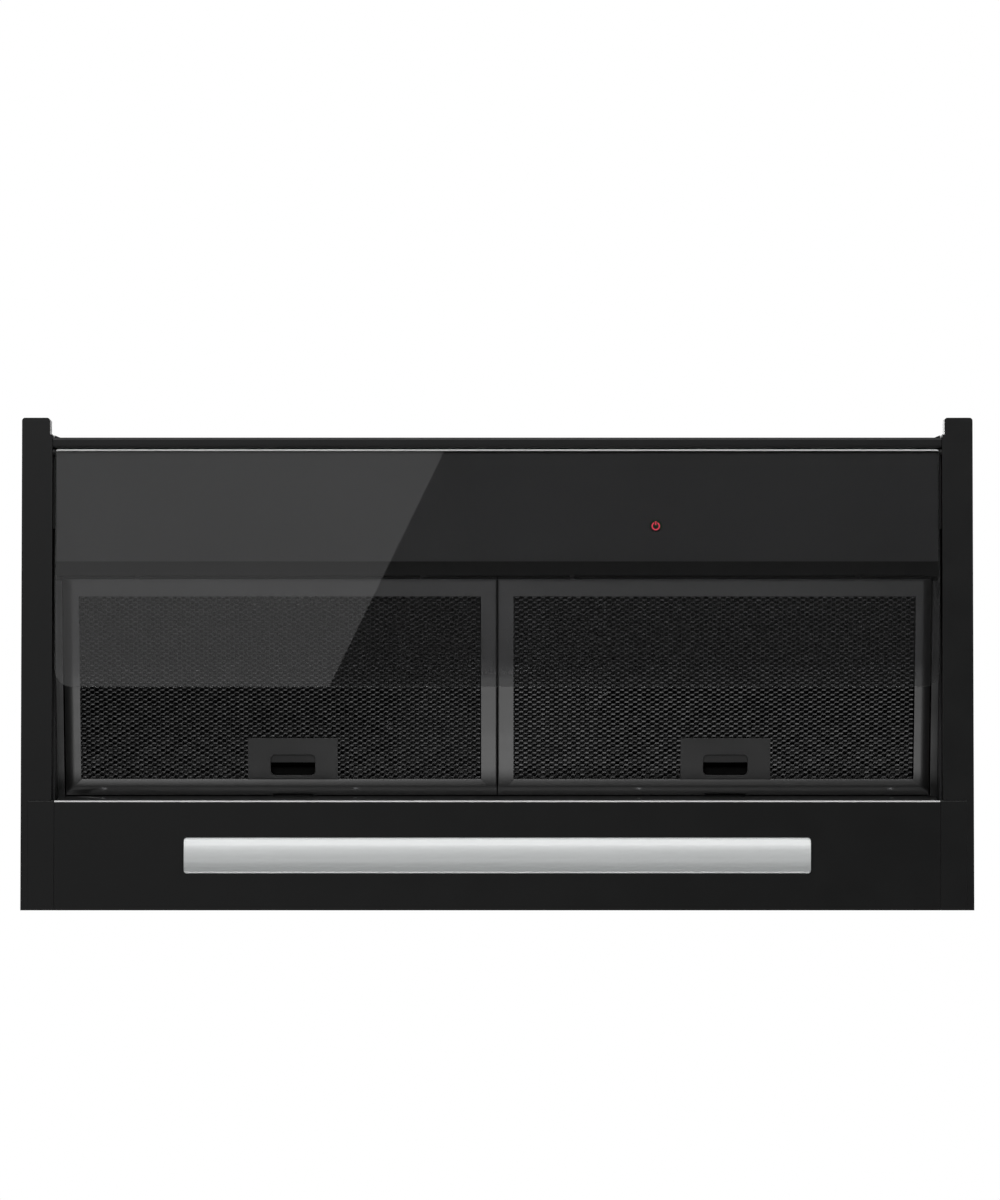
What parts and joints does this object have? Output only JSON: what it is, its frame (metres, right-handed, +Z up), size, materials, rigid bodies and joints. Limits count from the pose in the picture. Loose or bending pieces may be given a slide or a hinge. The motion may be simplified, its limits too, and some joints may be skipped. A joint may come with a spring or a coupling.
{
  "type": "built-in cooker hood",
  "caption": "Built-in cooker hood with a smoked glass flap, tilting grease filters, a light bar, an internal centrifugal fan and a round duct collar with non-return flaps.",
  "frame": {"origin": "centre of the four fixing holes, in the plane of the cabinet's underside (top face of the body's flange)", "axes": "+X to the user's right, +Y to the rear, +Z up; the filters and the glass face down"},
  "size_m": [0.599, 0.31, 0.2925],
  "materials": {
    "black_paint": "satin powder coat",
    "galvanised": "galvanised sheet",
    "black_trim": "fine satin moulding",
    "smoked_glass": "polished",
    "print_black": "ceramic print seen through glass",
    "symbol_red": "lit symbol",
    "board_green": "solder mask",
    "filter_grey": "dark anodised satin",
    "mesh_grey": "expanded metal, dark anodised",
    "zinc_steel": "zinc plated",
    "opal": "opal satin",
    "white_board": "white solder mask",
    "led_yellow": "phosphor",
    "fan_grey": "moulded",
    "motor_steel": "pressed steel",
    "rubber_black": "moulded rubber",
    "capacitor_white": "moulded can"
  },
  "bodies": {
    "hood": {"top_plate": "black_paint", "front_sheet": "black_paint", "rear_sheet": "black_paint", "side_sheet_left": "black_paint", "side_sheet_right": "black_paint", "sheet_rivets": "black_paint", "side_rail_left": "black_paint", "side_rail_right": "black_paint", "corner_block_left": "black_trim", "corner_block_right": "black_trim", "rear_bar": "black_paint", "front_rail": "black_paint", "gussets": "black_trim", "filter_carrier": "black_paint", "carrier_screws": "zinc_steel", "lamp_tray": "galvanised", "lamp_diffuser": "opal", "led_board": "white_board", "led_chips": "led_yellow", "lamp_driver": "black_trim", "lamp_screws": "zinc_steel", "hinge_pins": "zinc_steel", "catch_studs": "black_trim", "scroll_band": "fan_grey", "scroll_cheek_left": "fan_grey", "scroll_cheek_right": "fan_grey", "fan_screws": "zinc_steel", "motor": "motor_steel", "motor_bracket": "galvanised", "rubber_mounts": "rubber_black", "capacitor": "capacitor_white", "electronics_box": "black_trim", "terminal_box": "black_trim", "cable_gland": "black_trim", "duct_collar": "black_trim", "collar_screws": "zinc_steel"},
    "glass_flap": {"glass_panel": "smoked_glass", "glass_print": "print_black", "power_symbol": "symbol_red", "control_box": "black_trim", "control_board": "board_green", "hinge_arms": "black_paint", "arm_screws": "zinc_steel"},
    "filter_left": {"filter_frame_left": "filter_grey", "filter_mesh_left": "mesh_grey", "latch_plate_left": "filter_grey", "filter_rod_left": "zinc_steel", "latch_spring_left": "zinc_steel"},
    "filter_right": {"filter_frame_right": "filter_grey", "filter_mesh_right": "mesh_grey", "latch_plate_right": "filter_grey", "filter_rod_right": "zinc_steel", "latch_spring_right": "zinc_steel"},
    "latch_left": {"latch_slider_left": "filter_grey"},
    "latch_right": {"latch_slider_right": "filter_grey"},
    "fan_wheel": {"impeller": "fan_grey", "motor_shaft": "zinc_steel"},
    "flap_left": {"damper_left": "fan_grey"},
    "flap_right": {"damper_right": "fan_grey"}
  },
  "joints": [
    {"name": "glass_flap_hinge", "type": "hinge", "parent": "hood", "child": "glass_flap", "pos_m": [0, -0.13326, -0.01304], "axis": [-1, 0, 0], "range_deg": [0, 80]},
    {"name": "filter_tilt_left", "type": "hinge", "parent": "hood", "child": "filter_left", "pos_m": [-0.1371, -0.05265, -0.0069], "axis": [-1, 0, 0], "range_deg": [0, 14.5]},
    {"name": "latch_slide_left", "type": "slide", "parent": "filter_left", "child": "latch_left", "axis": [0, -0.9744, -0.225], "range_m": [0, 0.005], "stiffness_N_per_m": 150, "springref_m": -0.004, "deforming": ["latch_spring_left"]},
    {"name": "filter_tilt_right", "type": "hinge", "parent": "hood", "child": "filter_right", "pos_m": [0.1371, -0.05265, -0.0069], "axis": [-1, 0, 0], "range_deg": [0, 14.5]},
    {"name": "latch_slide_right", "type": "slide", "parent": "filter_right", "child": "latch_right", "axis": [0, -0.9744, -0.225], "range_m": [0, 0.005], "stiffness_N_per_m": 150, "springref_m": -0.004, "deforming": ["latch_spring_right"]},
    {"name": "fan_spin", "type": "hinge", "parent": "hood", "child": "fan_wheel", "pos_m": [-0.02, 0.01, 0.118], "axis": [1, 0, 0], "continuous": true},
    {"name": "damper_left_swing", "type": "hinge", "parent": "hood", "child": "flap_left", "pos_m": [-0.005, 0.062, 0.234], "axis": [0, 1, 0], "range_deg": [0, 75]},
    {"name": "damper_right_swing", "type": "hinge", "parent": "hood", "child": "flap_right", "pos_m": [0.005, 0.062, 0.234], "axis": [0, -1, 0], "range_deg": [0, 75]}
  ]
}
